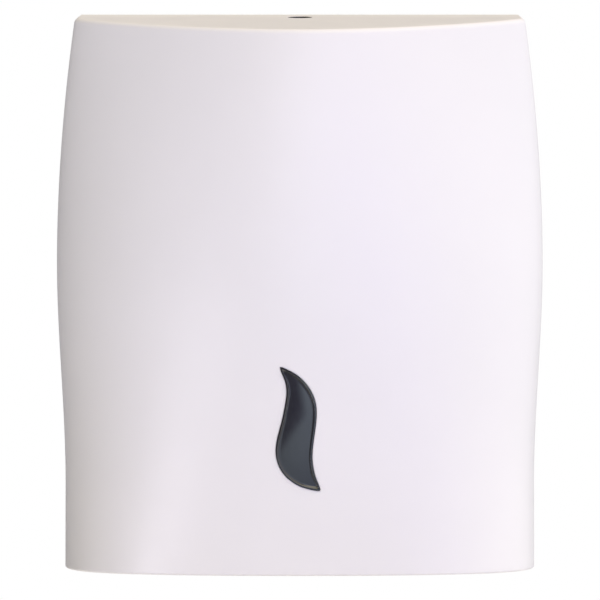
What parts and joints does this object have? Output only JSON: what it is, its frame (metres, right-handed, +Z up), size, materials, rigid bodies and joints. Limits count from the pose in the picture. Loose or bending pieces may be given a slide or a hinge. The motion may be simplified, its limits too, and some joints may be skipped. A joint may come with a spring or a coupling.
{
  "type": "folded paper towel dispenser",
  "caption": "Wall-mounted box with a bowed drop-down cover, sight window and push lock; holds folded paper towels and hands them out through a slot underneath.",
  "frame": {"origin": "centre of the four wall screws on the wall plane, at half the height", "axes": "+Z up, +Y into the wall, +X to the right as seen from the front"},
  "size_m": [0.2796, 0.1284, 0.32],
  "materials": {
    "cover_white": "satin moulded",
    "case_white": "fine moulded texture",
    "window_smoke": "smoked, clear and glossy",
    "lock_grey": "satin moulded",
    "zinc_steel": "zinc plated"
  },
  "bodies": {
    "case": {"back_plate": "case_white", "paper_tray": "case_white", "exit_throat": "case_white", "side_guide_left": "case_white", "side_guide_right": "case_white", "guide_screws": "zinc_steel", "tray_screws": "zinc_steel", "lock_housing": "lock_grey", "lock_housing_screws": "zinc_steel", "lock_cap": "lock_grey", "lock_spring": "zinc_steel", "hinge_pin_left": "zinc_steel", "hinge_pin_right": "zinc_steel"},
    "cover": {"front_cover": "cover_white", "sight_window": "window_smoke", "window_push_nuts": "zinc_steel", "cover_catch": "lock_grey", "catch_screws": "zinc_steel"},
    "lock": {"lock_plunger": "lock_grey", "latch_bar": "lock_grey", "latch_clip": "zinc_steel"}
  },
  "joints": [
    {"name": "cover_hinge", "type": "hinge", "parent": "case", "child": "cover", "pos_m": [0, -0.024, -0.1464], "axis": [1, 0, 0], "range_deg": [0, 90]},
    {"name": "lock_slide", "type": "slide", "parent": "case", "child": "lock", "axis": [0, 0, 1], "range_m": [0, 0.004], "stiffness_N_per_m": 250, "springref_m": 0.006, "deforming": ["lock_spring"]}
  ]
}
